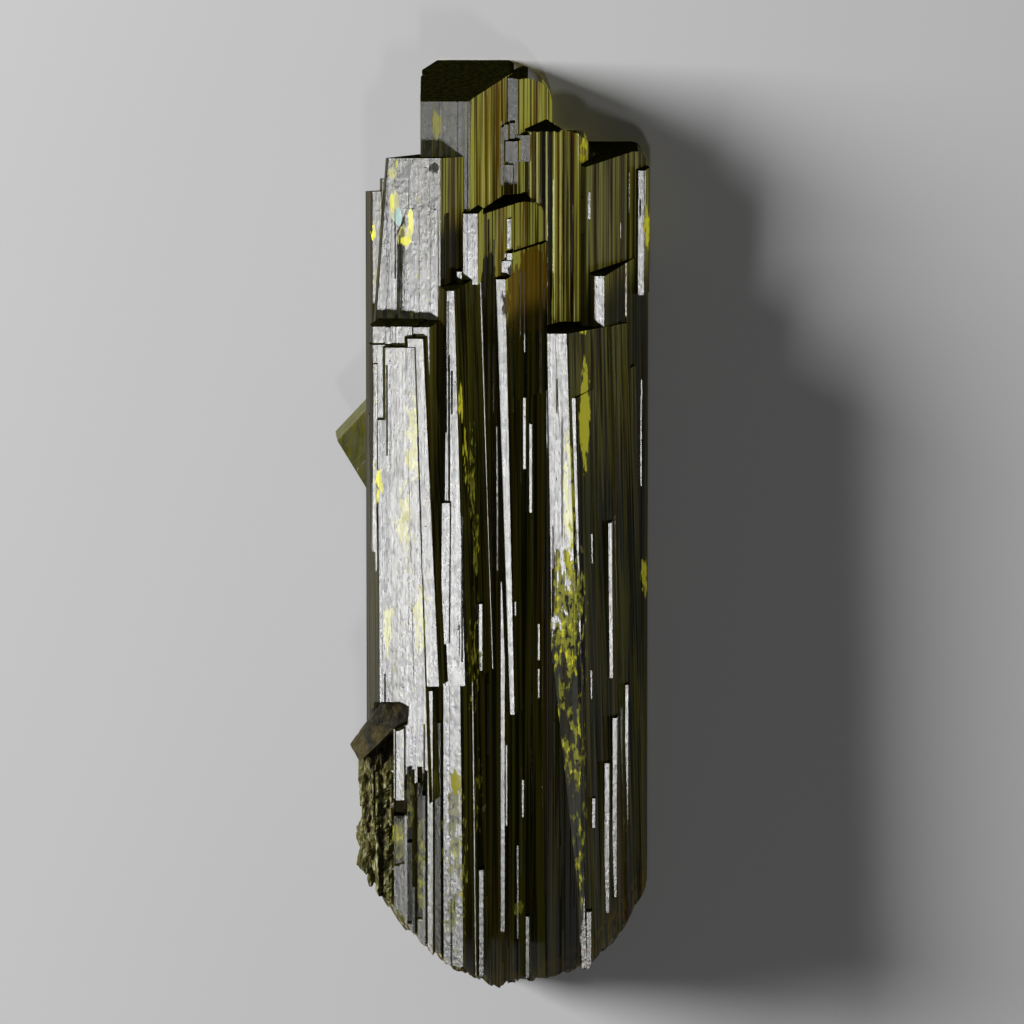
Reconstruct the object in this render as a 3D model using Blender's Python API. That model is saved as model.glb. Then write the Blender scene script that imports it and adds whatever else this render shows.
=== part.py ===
"""Epidote crystal cluster, lying on its back.

One natural body: prisms grown side by side along +Y, each ending in a flat face at its own height,
thin laths on their faces, a small side crystal, a chip, and a broken, rounded foot.
X runs across the cluster, Y along the prisms and Z up, away from the surface that it lies on.
Sizes are in millimetres until a mesh is made.
"""

import math
import random
from dataclasses import dataclass

import bmesh
import bpy
from mathutils import Matrix, Vector, noise

MM = 0.001
SEED = 11

# The faces of epidote's prism zone, as angles from the broad c face that looks up.
A_ANGLE = math.radians(64.6)
R_ANGLE = math.radians(63.7)
A_RUN = 1 / math.tan(A_ANGLE)
R_RUN = 1 / math.tan(R_ANGLE)

# The prisms start below the break, which then cuts them: it climbs by these rises at half the width.
FOOT = -4.6
HALF_WIDTH = 9.2
LEFT_RISE = 8.0
RIGHT_RISE = 7.0
BREAK_SLOPE = 0.28
BREAK_MIDDLE = (-1.9, 4.5)
BREAK_HALF_SPAN = (11.5, 8.5)

# The chipped lower left corner: a row of fibres, and a rough margin to the left of them.
FIBRES = 11
FIBRE_WIDTH = 0.5
FIBRE_LEFT = -10.3
FIBRE_FLOOR = 11.5
FIBRE_TOP = 15.4
MARGIN_TOP = 19.2
MARGIN_FIBRES = 6
ROUGH_LEFT_OF = -7.4
CORNER_HALF_HEIGHT = 10.5
CORNER_CEILING = 16.0

# The small side crystal: its outermost corner, and the turn of its long axis about Z.
SIDE_TIP = Vector((-11.04, 35.54, 5.0))
SIDE_TURN = math.radians(138.2)
SIDE_END_SLANT = 0.30

LATH_DEPTH = 1.3
SCATTERED_LATHS = 12

# A rounded top corner is cut to flats that face these ways, from straight up to the right.
SHOULDER_FLATS = (22, 45, 68)

EPIDOTE_COLOUR = (0.055, 0.055, 0.012, 1)


@dataclass
class Prism:
    """One crystal of the bundle. left and right bound its c face, at the height z = front."""

    name: str
    left: float
    right: float
    front: float
    top: float
    foot: float = FOOT
    back: float = 1.0
    left_depth: float = 0.5
    left_run: float = R_RUN
    right_depth: float = 0.6
    right_run: float = A_RUN
    left_drift: float = 0.0
    right_drift: float = 0.0
    top_tilt: float = 0.0
    shoulder: float = 0.0
    ridges: int = 0
    ridge_height: float = 0.1
    face_ridges: int = 0
    back_ridges: int = 3


PRISMS = [
    Prism("summit", -5.55, -2.55, 8.7, 58.90, back=0.25, left_depth=5.2, left_run=0.0,
          right_depth=7.2, ridges=9, shoulder=0.9),
    Prism("summit_step", -0.03, 0.64, 3.7, 58.85, back=0.45, right_depth=3.2, right_run=0.68, ridges=5,
          shoulder=2.9),
    Prism("grooved", 1.30, 3.40, 3.6, 55.25, back=0.4, right_depth=0.3, face_ridges=4, ridge_height=0.36),
    Prism("grooved_right", 3.30, 4.90, 3.5, 55.30, back=0.3, left_depth=2.0, right_depth=0.6, face_ridges=3,
          ridge_height=0.34, top_tilt=-0.36, shoulder=1.5),
    Prism("upper_left", -7.61, -4.24, 10.5, 55.70, foot=42.5, back=2.2, left_depth=0.3, right_depth=1.9,
          right_run=0.80, ridges=3, ridge_height=0.07, left_drift=-0.072, top_tilt=-0.30, shoulder=0.4),
    Prism("upper_left_rise", -6.57, -4.40, 10.95, 51.00, foot=42.0, back=6.0, left_depth=0.5,
          right_depth=1.6, right_run=0.70),
    Prism("left_edge", -8.62, -7.60, 9.8, 53.25, back=2.8, left_depth=0.5, right_depth=4.5, top_tilt=-0.30),
    Prism("left_splinter", -8.00, -7.40, 9.9, 54.15, back=5.0, left_depth=0.3, right_depth=2.0,
          top_tilt=-0.30),
    Prism("right", 4.86, 4.96, 5.9, 53.60, back=0.6, left_depth=0.5, right_depth=4.2, right_run=0.93,
          ridges=9, ridge_height=0.13, shoulder=1.1),
    Prism("right_edge", 8.30, 8.72, 2.8, 52.35, foot=44.0, back=0.9, right_depth=0.7),
    Prism("middle", -2.87, -1.88, 8.2, 51.10, back=1.6, left_depth=1.9, right_depth=4.6, right_run=0.95,
          ridges=5, shoulder=2.0),
    Prism("middle_low", -1.20, 0.25, 6.45, 48.00, foot=38.0, back=1.8, left_depth=1.0, right_depth=2.4,
          right_run=0.95, ridges=3, ridge_height=0.07),
    Prism("centre_left", -3.89, -3.38, 11.5, 47.15, foot=20.55, back=2.0, left_depth=1.6, right_depth=3.8,
          ridges=5, left_drift=-0.012, right_drift=0.030),
    Prism("centre_left_low", -4.15, -3.05, 11.0, 24.0, back=2.3, left_depth=1.4, right_depth=3.8,
          ridges=4, right_drift=0.010),
    Prism("needle", -0.77, -0.13, 7.5, 46.60, foot=17.2, back=3.0, left_depth=1.0, right_depth=1.2,
          left_drift=0.031, right_drift=0.019),
    Prism("right_front", 5.51, 6.18, 6.4, 46.45, back=0.5, left_depth=1.0, right_depth=5.5, right_run=0.51,
          ridges=12, ridge_height=0.12),
    Prism("front_left", -8.62, -5.90, 12.7, 44.80, foot=11.0, back=2.6, left_depth=0.4, right_depth=2.6,
          left_drift=0.018, right_drift=0.030),
    Prism("front_left_rim", -6.40, -5.36, 12.62, 44.60, foot=20.90, back=6.0, left_depth=1.0,
          right_depth=2.6, ridges=3, left_drift=0.030, right_drift=0.043),
    Prism("corner", -8.20, -5.10, 12.1, 23.0, back=2.9, left_depth=0.6, right_depth=2.8, ridges=3),
    Prism("centre_right", 2.49, 3.77, 9.8, 43.71, back=0.6, left_depth=4.5, left_run=0.0, right_depth=5.6,
          right_run=0.70, ridges=8, left_drift=0.056, right_drift=0.030, top_tilt=-0.20),
    Prism("centre_right_low", 3.20, 4.34, 9.55, 39.30, back=0.8, left_depth=3.0, left_run=0.0,
          right_depth=6.6, right_run=0.58, ridges=8, left_drift=0.040, right_drift=0.022),
    Prism("backing", -4.40, 6.10, 3.0, 42.00, back=0.0, left_depth=0.6, left_run=0.0, right_depth=2.3),
]


@dataclass
class Lath:
    """A thin crystal on a face. It stands lift proud of whatever prism is under its middle."""

    x: float
    width: float
    top: float
    foot: float
    lift: float = 0.25
    drift: float = 0.0


LATHS = [
    Lath(-0.38, 0.18, 55.80, 51.85, 0.35),
    Lath(-0.22, 0.44, 55.84, 54.80, 0.25),
    Lath(0.28, 0.29, 55.93, 54.90, 0.30),
    Lath(0.23, 0.80, 54.77, 53.40, 0.50),
    Lath(0.96, 0.90, 55.06, 53.30, 0.60),
    Lath(0.02, 0.60, 53.10, 50.50, 0.20),
    Lath(0.07, 0.24, 50.30, 48.30, 0.30),
    Lath(0.10, 0.32, 48.15, 47.70, 0.45),
    Lath(-0.10, 0.60, 47.60, 46.40, 0.35),
    Lath(-3.10, 0.30, 47.90, 46.80, 0.8),
    Lath(-8.15, 0.95, 45.35, 44.10, 0.30),
    Lath(-6.65, 1.30, 45.40, 43.60, 0.22),
    Lath(-5.70, 0.80, 45.25, 44.40, 0.14),
    Lath(-3.95, 0.50, 33.0, 23.5, 0.30, -0.01),
    Lath(-5.00, 0.50, 20.50, FOOT, 0.30),
    Lath(-6.90, 0.50, 18.20, 12.80, 0.35),
    Lath(-4.45, 0.30, 18.0, FOOT, 0.60),
    Lath(6.52, 0.20, 30.0, 19.5, 0.30, 0.01),
    Lath(6.85, 0.26, 16.8, 4.6, 0.28),
    Lath(7.62, 0.18, 18.6, 9.0, 0.22),
    Lath(5.50, 0.18, 12.0, 10.0, 0.25),
    Lath(6.35, 0.28, 14.0, 3.8, 0.28),
    Lath(5.20, 0.28, 4.60, FOOT, 0.30),
    Lath(-1.72, 0.26, 7.2, FOOT, 0.55),
    Lath(1.25, 0.20, 2.6, FOOT, 0.40),
    Lath(-0.34, 0.24, 26.0, 2.2, 0.45),
    Lath(-1.75, 0.20, 25.5, 21.0, 0.25),
    Lath(1.05, 0.16, 40.0, 33.1, 0.20),
    Lath(1.45, 0.16, 36.0, 30.0, 0.24),
    Lath(3.00, 0.18, 21.5, 16.5, 0.35),
]


def corner_points(prism):
    """The corners of a prism's cross-section as (x, z), from the c face's left edge and round clockwise."""
    a_foot = (prism.right + prism.right_run * prism.right_depth, prism.front - prism.right_depth)
    r_foot = (prism.left - prism.left_run * prism.left_depth, prism.front - prism.left_depth)
    meeting = (R_RUN * a_foot[1] + A_RUN * r_foot[1] - (a_foot[0] - r_foot[0])) / (R_RUN + A_RUN)
    back = max(prism.back, meeting + 0.3)
    back_right = (a_foot[0] - R_RUN * (a_foot[1] - back), back)
    back_left = (r_foot[0] + A_RUN * (r_foot[1] - back), back)
    return [(prism.left, prism.front), (prism.right, prism.front), a_foot, back_right, back_left, r_foot]


def striated(start, end, ridges, height, rng):
    """The points from start up to end, with a row of blunt ridges that stand out to the left of the way."""
    start, end = Vector(start), Vector(end)
    along = end - start
    outward = Vector((-along.y, along.x)).normalized()
    points = [start]
    for i in range(ridges):
        near, far = (i + rng.uniform(0.15, 0.4)) / ridges, (i + rng.uniform(0.6, 0.9)) / ridges
        lift = height * rng.uniform(0.5, 1.0)
        points.append(start + along * near + outward * lift)
        points.append(start + along * far + outward * lift * rng.uniform(0.0, 0.25))
    return points


def outline(prism, rng):
    """The whole cross-section: flat c faces, ridges on the steep ones."""
    corners = corner_points(prism)
    ridges = [prism.face_ridges, prism.ridges, prism.back_ridges, 0, prism.back_ridges, 0]
    points = []
    for i, count in enumerate(ridges):
        points += striated(corners[i], corners[(i + 1) % 6], count, prism.ridge_height, rng)
    return points


def drifted(prism, x, y):
    """x at the height y: prisms fan out a little towards the foot."""
    share = min(1.0, max(0.0, (x - prism.left) / (prism.right - prism.left)))
    drift = prism.left_drift + (prism.right_drift - prism.left_drift) * share
    return x + (prism.top - y) * drift


def round_shoulder(bm, prism, reach):
    """Cuts the top right corner to three flats that follow an arc."""
    centre = Vector((reach - prism.shoulder, prism.top - prism.shoulder, 0))
    for angle in SHOULDER_FLATS:
        normal = Vector((math.sin(math.radians(angle)), math.cos(math.radians(angle)), 0))
        cut = bmesh.ops.bisect_plane(
            bm,
            geom=bm.verts[:] + bm.edges[:] + bm.faces[:],
            plane_co=centre + normal * prism.shoulder,
            plane_no=normal,
            clear_outer=True,
        )
        rim = [e for e in cut["geom_cut"] if isinstance(e, bmesh.types.BMEdge)]
        bmesh.ops.edgeloop_fill(bm, edges=rim)


def prism_mesh(prism, rng):
    """A closed prism from its foot to its end face."""
    bm = bmesh.new()
    points = outline(prism, rng)
    foot = [bm.verts.new((drifted(prism, x, prism.foot), prism.foot, z)) for x, z in points]
    face = bm.faces.new(foot)
    bmesh.ops.extrude_face_region(bm, geom=[face])
    bm.verts.ensure_lookup_table()
    for vert, (x, z) in zip(bm.verts[len(points):], points):
        vert.co = Vector((x, prism.top - prism.top_tilt * (z - prism.front), z))
    if prism.shoulder:
        round_shoulder(bm, prism, max(x for x, _ in points))
    bmesh.ops.recalc_face_normals(bm, faces=bm.faces[:])
    return bm


def face_height(x, y):
    """How high the cluster's front stands at x, y."""
    heights = [0.0]
    for prism in PRISMS:
        if not prism.foot <= y <= prism.top:
            continue
        left, right = drifted(prism, prism.left, y), drifted(prism, prism.right, y)
        reach = right + prism.right_run * prism.right_depth
        if left <= x <= right:
            heights.append(prism.front)
        elif right < x <= reach:
            heights.append(prism.front - (x - right) / prism.right_run)
        elif prism.left_run and left - prism.left_run * prism.left_depth <= x < left:
            heights.append(prism.front - (left - x) / prism.left_run)
    return max(heights)


def lath_prism(lath, name):
    front = face_height(lath.x, (lath.top + lath.foot) / 2) + lath.lift
    half = lath.width / 2
    return Prism(name, lath.x - half, lath.x + half, front, lath.top, lath.foot, front - LATH_DEPTH,
                 left_depth=0.45, left_run=0.15, right_depth=0.45, right_run=0.25,
                 left_drift=lath.drift, right_drift=lath.drift, back_ridges=0)


def scattered_laths(rng, count):
    """Short, narrow laths strewn over the front where it is level along their length."""
    found = []
    while len(found) < count:
        x, middle, half = rng.uniform(-8.3, 8.4), rng.uniform(3, 54), rng.uniform(1.0, 4.5)
        heights = [face_height(x, y) for y in (middle - half, middle, middle + half)]
        width, lift = rng.uniform(0.10, 0.24), rng.uniform(0.10, 0.20)
        if max(heights) - min(heights) < 0.15 and min(heights) > 2.0:
            found.append(Lath(x, width, middle + half, middle - half, lift))
    return found


def helper_object(name, bm):
    """A mesh object that only feeds the Booleans."""
    bmesh.ops.scale(bm, vec=(MM, MM, MM), verts=bm.verts[:])
    mesh = bpy.data.meshes.new(name)
    bm.to_mesh(mesh)
    bm.free()
    helper = bpy.data.objects.new(name, mesh)
    helper.hide_render = True
    helper.display_type = "WIRE"
    return helper


def collected(name, helpers):
    collection = bpy.data.collections.new(name)
    bpy.context.scene.collection.children.link(collection)
    for helper in helpers:
        collection.objects.link(helper)
    collection.hide_render = True
    return collection


def deepen(bm, axis, level):
    """Gives a sheet a body: a copy of it is drawn out and laid flat at the level along the axis."""
    drawn = bmesh.ops.extrude_face_region(bm, geom=bm.faces[:])
    for vert in drawn["geom"]:
        if isinstance(vert, bmesh.types.BMVert):
            vert.co[axis] = level
    bmesh.ops.recalc_face_normals(bm, faces=bm.faces[:])


def break_height(x, z):
    """How far up the broken foot reaches at x, z: it climbs to both sides and to the front."""
    if x < 0:
        rise = LEFT_RISE * (-x / HALF_WIDTH) ** 1.8
    else:
        rise = RIGHT_RISE * (x / HALF_WIDTH) ** 2.8
    lumps = 0.6 * noise.noise(Vector((x * 0.5, z * 0.5, 3.1)))
    lumps += 0.35 * noise.noise(Vector((x * 1.5, z * 1.5, 7.7)))
    middle_y, middle_z = BREAK_MIDDLE
    return middle_y + rise + BREAK_SLOPE * (z - middle_z) + lumps


def break_cutter():
    """Everything below the broken foot."""
    bm = bmesh.new()
    bmesh.ops.create_grid(bm, x_segments=26, y_segments=18, size=1.0)
    span_x, span_z = BREAK_HALF_SPAN
    for vert in bm.verts:
        x, z = vert.co.x * span_x, (vert.co.y + 1) * span_z - 1.5
        vert.co = Vector((x, break_height(x, z), z))
    deepen(bm, 1, FOOT - 2.0)
    return helper_object("break_cutter", bm)


def corner_cutter(rng):
    """What broke off the lower left corner: it left fibres of uneven height and length, and a rough edge."""
    bm = bmesh.new()
    bmesh.ops.create_grid(bm, x_segments=2 * FIBRES - 1, y_segments=30, size=1.0)
    tops = [MARGIN_TOP if i < MARGIN_FIBRES else FIBRE_TOP + rng.uniform(-2.0, 0.2) for i in range(FIBRES)]
    floors = [FIBRE_FLOOR + rng.uniform(-0.35, 0.35) for _ in range(FIBRES)]
    for vert in bm.verts:
        step = round((vert.co.x + 1) / 2 * (2 * FIBRES - 1))
        fibre, side = divmod(step, 2)
        x = FIBRE_LEFT + FIBRE_WIDTH * (fibre + (0.94 if side else 0.06))
        y = (vert.co.y + 1) * CORNER_HALF_HEIGHT
        rough = 0.75 if x < ROUGH_LEFT_OF else 0.12
        floor = floors[fibre] + rough * noise.noise(Vector((x * 0.9, y * 0.6, 2.0)))
        share = min(1.0, max(0.0, (y - tops[fibre]) / 0.5))
        vert.co = Vector((x, y, floor + share * 3.0))
    deepen(bm, 2, CORNER_CEILING)
    return helper_object("corner_cutter", bm)


@dataclass
class Lump:
    """A rough lump: its middle, its half sizes and how much its surface wanders."""

    middle: tuple
    half: tuple
    wander: float = 0.5


CORNER_LUMPS = [
    Lump((-8.55, 13.6, 10.4), (0.85, 2.6, 1.3)),
    Lump((-8.45, 9.6, 10.2), (1.05, 2.6, 1.4)),
]


def lump_mesh(lump, seed):
    bm = bmesh.new()
    bmesh.ops.create_icosphere(bm, subdivisions=3, radius=1.0)
    for vert in bm.verts:
        swell = 1 + lump.wander * noise.noise(vert.co * 1.9 + Vector((seed, 2 * seed, 0)))
        vert.co = Vector(v * h for v, h in zip(vert.co * swell, lump.half)) + Vector(lump.middle)
    return bm


CHIP_POINTS = [
    (-10.13, 16.2, 10.4), (-9.50, 15.2, 10.9), (-9.50, 15.4, 9.4), (-8.70, 18.4, 11.2), (-8.00, 17.2, 12.3),
    (-7.30, 18.1, 12.5), (-6.50, 18.5, 12.5), (-6.28, 19.3, 12.4), (-6.50, 19.8, 12.3), (-8.00, 19.8, 12.2),
    (-8.70, 17.5, 8.8), (-7.00, 17.8, 9.0), (-7.00, 19.6, 9.0),
]


def chip_mesh():
    """The brown splinter that juts out above the broken corner."""
    bm = bmesh.new()
    for point in CHIP_POINTS:
        bm.verts.new(point)
    hull = bmesh.ops.convex_hull(bm, input=bm.verts[:])
    loose = [v for v in hull["geom_interior"] if isinstance(v, bmesh.types.BMVert)]
    bmesh.ops.delete(bm, geom=loose, context="VERTS")
    return bm


def side_mesh(rng):
    """The small crystal on the left: a short prism whose own long axis points down and outwards."""
    prism = Prism("side", -4.3, -0.45, 1.0, 0.0, foot=-7.5, back=-1.3, left_depth=0.6, right_depth=0.95,
                  face_ridges=4)
    bm = prism_mesh(prism, rng)
    for vert in bm.verts:
        vert.co.y -= SIDE_END_SLANT * vert.co.x
    bmesh.ops.rotate(bm, cent=(0, 0, 0), matrix=Matrix.Rotation(SIDE_TURN, 3, "Z"), verts=bm.verts[:])
    bmesh.ops.translate(bm, vec=SIDE_TIP, verts=bm.verts[:])
    return bm


def boolean(target, operation, collection):
    """Joins to or cuts from the target. EXACT leaves open edges where the long faces lie nearly level."""
    modifier = target.modifiers.new(operation.lower(), "BOOLEAN")
    modifier.operation = operation
    modifier.operand_type = "COLLECTION"
    modifier.collection = collection
    modifier.solver = "MANIFOLD"


def epidote_material():
    material = bpy.data.materials.new("epidote")
    material.use_nodes = True
    shader = material.node_tree.nodes["Principled BSDF"]
    shader.inputs["Base Color"].default_value = EPIDOTE_COLOUR
    shader.inputs["Roughness"].default_value = 0.12
    shader.inputs["IOR"].default_value = 1.75
    material.diffuse_color = EPIDOTE_COLOUR
    return material


def clear_scene():
    for thing in list(bpy.data.objects):
        bpy.data.objects.remove(thing)


def connected(vert):
    """The vertices that edges join to this one, itself included."""
    found = {vert}
    waiting = [vert]
    while waiting:
        here = waiting.pop()
        near = {edge.other_vert(here) for edge in here.link_edges} - found
        found |= near
        waiting += near
    return found


def fill_sealed_gaps(mesh):
    """Keeps the outer surface only: a gap closed in between crystals becomes solid."""
    bm = bmesh.new()
    bm.from_mesh(mesh)
    outer = connected(min(bm.verts, key=lambda v: v.co.z))
    bmesh.ops.delete(bm, geom=[v for v in bm.verts if v not in outer], context="VERTS")
    bm.to_mesh(mesh)
    bm.free()


def centred(source):
    """A plain object of the evaluated source, with the middle of its underside at the origin."""
    graph = bpy.context.evaluated_depsgraph_get()
    mesh = bpy.data.meshes.new_from_object(source.evaluated_get(graph))
    fill_sealed_gaps(mesh)
    corners = [v.co for v in mesh.vertices]
    low = Vector(min(c[i] for c in corners) for i in range(3))
    high = Vector(max(c[i] for c in corners) for i in range(3))
    mesh.transform(Matrix.Translation((-(low.x + high.x) / 2, -(low.y + high.y) / 2, -low.z)))
    return bpy.data.objects.new("epidote_cluster", mesh)


def main():
    clear_scene()
    rng = random.Random(SEED)
    solids = [helper_object(prism.name, prism_mesh(prism, rng)) for prism in PRISMS]
    for number, lath in enumerate(LATHS + scattered_laths(rng, SCATTERED_LATHS)):
        prism = lath_prism(lath, f"lath_{number:02d}")
        solids.append(helper_object(prism.name, prism_mesh(prism, rng)))
    solids.append(helper_object("side_crystal", side_mesh(rng)))
    lumps = [helper_object(f"corner_lump_{i}", lump_mesh(lump, i)) for i, lump in enumerate(CORNER_LUMPS)]
    core = solids.pop(0)
    bundle = bpy.data.objects.new("bundle", core.data)
    bpy.context.scene.collection.objects.link(bundle)
    bundle.hide_render = True
    bundle.display_type = "WIRE"
    boolean(bundle, "UNION", collected("grown_on", solids))
    boolean(bundle, "DIFFERENCE", collected("broken_off", [break_cutter(), corner_cutter(rng)]))
    boolean(bundle, "UNION", collected("corner_pieces", [helper_object("chip", chip_mesh()), *lumps]))
    bpy.context.view_layer.update()
    cluster = centred(bundle)
    cluster.data.materials.clear()
    cluster.data.materials.append(epidote_material())
    bpy.context.scene.collection.objects.link(cluster)
    bpy.data.objects.remove(bundle)


main()
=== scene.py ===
"""Epidote crystal cluster, lying on its back: its fine growth lines, its finish and a small studio.

Places along and across the crystals are in the cluster's own millimetres, as its design gives them.
They are moved into the frame, in metres, when a piece is finished.
"""

import math
import random
from dataclasses import dataclass, field

import bmesh
import bpy
from bpy.props import FloatProperty, FloatVectorProperty, IntProperty, PointerProperty
from mathutils import Matrix, Vector, noise


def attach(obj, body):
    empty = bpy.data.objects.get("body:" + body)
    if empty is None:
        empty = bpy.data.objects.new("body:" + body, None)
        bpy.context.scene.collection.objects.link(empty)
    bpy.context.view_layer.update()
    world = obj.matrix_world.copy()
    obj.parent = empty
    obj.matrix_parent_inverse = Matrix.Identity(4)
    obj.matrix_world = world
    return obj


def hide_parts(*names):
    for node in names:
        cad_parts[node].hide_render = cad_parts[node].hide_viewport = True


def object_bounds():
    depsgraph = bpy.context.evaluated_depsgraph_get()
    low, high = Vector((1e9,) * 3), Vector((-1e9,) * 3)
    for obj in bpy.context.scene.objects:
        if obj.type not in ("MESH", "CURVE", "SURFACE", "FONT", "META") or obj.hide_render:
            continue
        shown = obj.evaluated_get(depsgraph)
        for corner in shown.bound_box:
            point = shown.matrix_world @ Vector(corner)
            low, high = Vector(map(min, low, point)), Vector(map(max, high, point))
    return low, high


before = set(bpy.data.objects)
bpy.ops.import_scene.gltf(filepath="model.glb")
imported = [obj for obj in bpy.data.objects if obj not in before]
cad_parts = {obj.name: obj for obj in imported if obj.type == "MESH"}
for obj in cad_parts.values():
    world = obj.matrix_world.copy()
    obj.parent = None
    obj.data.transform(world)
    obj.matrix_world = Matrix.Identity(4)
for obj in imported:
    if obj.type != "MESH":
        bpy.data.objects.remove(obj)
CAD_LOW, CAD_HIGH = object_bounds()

bl_info = {
    "name": "Epidote crystal cluster",
    "version": (1, 0, 0),
    "blender": (4, 5, 0),
    "location": "3D View > Sidebar > Epidote",
    "description": "Grows an epidote crystal cluster with striated faces on its packed solid",
    "category": "Add Mesh",
}

MM = 0.001
NODE = "epidote_cluster"

# The faces of epidote's prism zone, as angles from the broad c face that looks up.
A_ANGLE = math.radians(64.6)
R_ANGLE = math.radians(63.7)
A_RUN = 1 / math.tan(A_ANGLE)
R_RUN = 1 / math.tan(R_ANGLE)

# The prisms start below the break, which then cuts them: it climbs by these rises at half the width.
FOOT = -4.6
HALF_WIDTH = 9.2
LEFT_RISE = 8.0
RIGHT_RISE = 7.0
BREAK_SLOPE = 0.28
BREAK_MIDDLE = (-1.9, 4.5)
BREAK_BOW = LEFT_RISE / HALF_WIDTH ** 2
BREAK_HALF_SPAN = (11.5, 8.5)

# The chipped lower left corner: a row of fibres, and a rough margin to the left of them.
STRAND_WIDTH = 1 / 6
FIBRE_LEFT = -10.3
FIBRE_FLOOR = 11.6
MARGIN_TOP = 19.2
MARGIN_STRANDS = 18
ROUGH_LEFT_OF = -7.4
CORNER_HALF_HEIGHT = 10.5
CORNER_CEILING = 16.0

# The small side crystal: its outermost corner, and the turn of its long axis about Z.
SIDE_TIP = Vector((-11.04, 35.54, 5.0))
SIDE_TURN = math.radians(138.2)
SIDE_END_SLANT = 0.30
SIDE_LEAN = math.radians(8)

# How deep a lath reaches into its prism, the angles of the flats that round a shoulder, and how much a
# lump's surface wanders.
LATH_DEPTH = 1.3
SHOULDER_FLATS = [math.radians(angle) for angle in (11, 22, 34, 45, 57, 68, 79)]
LUMP_WANDER = 0.5

# A face whose normal goes further than this along Y is an end face, and along X a flank.
END_FACE = 0.85
FLANK = 0.5

# The cluster's left and upper ends in its own millimetres, and the shift from there into the frame.
LEFT_END = -11.05
TOP_END = 58.90
HOME = Vector((CAD_LOW.x / MM - LEFT_END, CAD_HIGH.y / MM - TOP_END, 0.0))

# The camera looks down on the cluster, turned back from straight down by this tilt.
VIEW_TILT = math.radians(19)
VIEW_TARGET = Vector((0.255, 31.79, 10.0))
VIEW_WIDTH = 0.06535
LENS = 800.0
SENSOR = 36.0

# Where the lights stand, in metres, how large they are, and what they look at.
AIM = Vector((0, 0, 0.008))
FACE_LIGHT_DISTANCE = 0.5
FACE_LIGHT_SHIFT = Vector((0, 0.004, 0))
FACE_LIGHT_SIZE = (0.032, 0.062)
KEY_LIGHT_PLACE = Vector((-0.48, 0.14, 0.185))
KEY_LIGHT_SIZE = (0.20, 0.16)
SIDE_LIGHT_PLACE = Vector((0.55, 0.04, 0.03))
SIDE_LIGHT_SIZE = (0.3, 0.04)

# How strongly the broad faces mirror, and the flanks, which would otherwise show too much of the floor.
SHINE = 0.4
FLANK_SHINE = 0.17

# Painted light: the strength of the glow that stands in for light that has come through the deep stone, and
# through its pale thin ends.
GLOW = 0.22
THIN_GLOW = 0.40

# The colours of the patches that also stain the painted light in the thin ends, and of those that give off
# painted light themselves.
STAINS = ("ink", "amber", "straw")
SHINING = ("lemon", "moss")


@dataclass
class Edge:
    """An edge of a prism's c face, with the flank that falls away from it.

    The flank is this deep and runs outwards by run for each millimetre down. The edge drifts to the right by
    drift for each millimetre towards the foot.
    """

    x: float
    depth: float = 0.6
    run: float = A_RUN
    drift: float = 0.0


@dataclass
class Prism:
    """One crystal of the bundle. left and right bound its c face, which lies at the height front."""

    name: str
    left: Edge
    right: Edge
    front: float
    top: float
    foot: float = FOOT
    back: float = 1.0
    top_tilt: float = 0.0
    shoulder: float = 0.0
    grooves: int = 0


SUMMIT = [
    Prism("summit", Edge(-5.55, 5.2, 0.0), Edge(-2.55, 7.2), 8.7, 58.90, back=0.12, shoulder=0.9),
    Prism("summit_corner", Edge(-5.47, 0.85, 0.0), Edge(-3.90, 2.8, 0.0), 3.0, 58.90, foot=48.0,
          back=0.12),
    Prism("summit_step", Edge(-0.03, 0.5, R_RUN), Edge(0.64, 3.2, 0.68), 3.7, 58.85, back=0.45,
          shoulder=2.9),
]
GROOVED = [
    Prism("grooved", Edge(1.30, 0.5, R_RUN), Edge(3.40, 0.3), 3.6, 55.25, back=0.4, grooves=5),
    Prism("grooved_right", Edge(3.30, 2.0, R_RUN), Edge(4.90), 3.5, 55.30, back=0.3, top_tilt=-0.36,
          shoulder=1.5, grooves=4),
]
UPPER_LEFT = [
    Prism("upper_left", Edge(-7.61, 0.3, R_RUN, -0.072), Edge(-4.24, 1.9, 0.80), 10.5, 55.70, foot=42.5,
          back=2.2, top_tilt=-0.27, shoulder=0.4),
    Prism("upper_left_rise", Edge(-6.57, 0.06, 9.6), Edge(-4.42, 0.06), 10.56, 52.00, foot=42.0,
          back=10.42, top_tilt=-30.0),
    Prism("left_edge", Edge(-8.62, 0.9, R_RUN), Edge(-7.60, 4.5), 9.8, 53.25, back=2.8, top_tilt=-0.30),
    Prism("left_splinter", Edge(-8.00, 0.3, R_RUN), Edge(-7.40, 2.0), 9.9, 54.15, back=5.0,
          top_tilt=-0.30),
]
RIGHT = [
    Prism("right", Edge(4.86, 0.5, R_RUN), Edge(4.96, 4.2, 0.93), 5.9, 53.60, back=0.6, shoulder=1.1),
    Prism("right_back", Edge(4.80, 1.75, 0.0), Edge(7.60, 2.3, 0.0), 2.95, 53.60, foot=40.0, back=0.60),
    Prism("right_edge", Edge(8.30, 0.5, R_RUN), Edge(8.72, 0.7), 2.8, 52.35, foot=44.0, back=0.9),
    Prism("right_front", Edge(5.51, 1.0, R_RUN), Edge(6.18, 5.5, 0.51), 6.4, 46.45, back=0.5),
]
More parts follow.
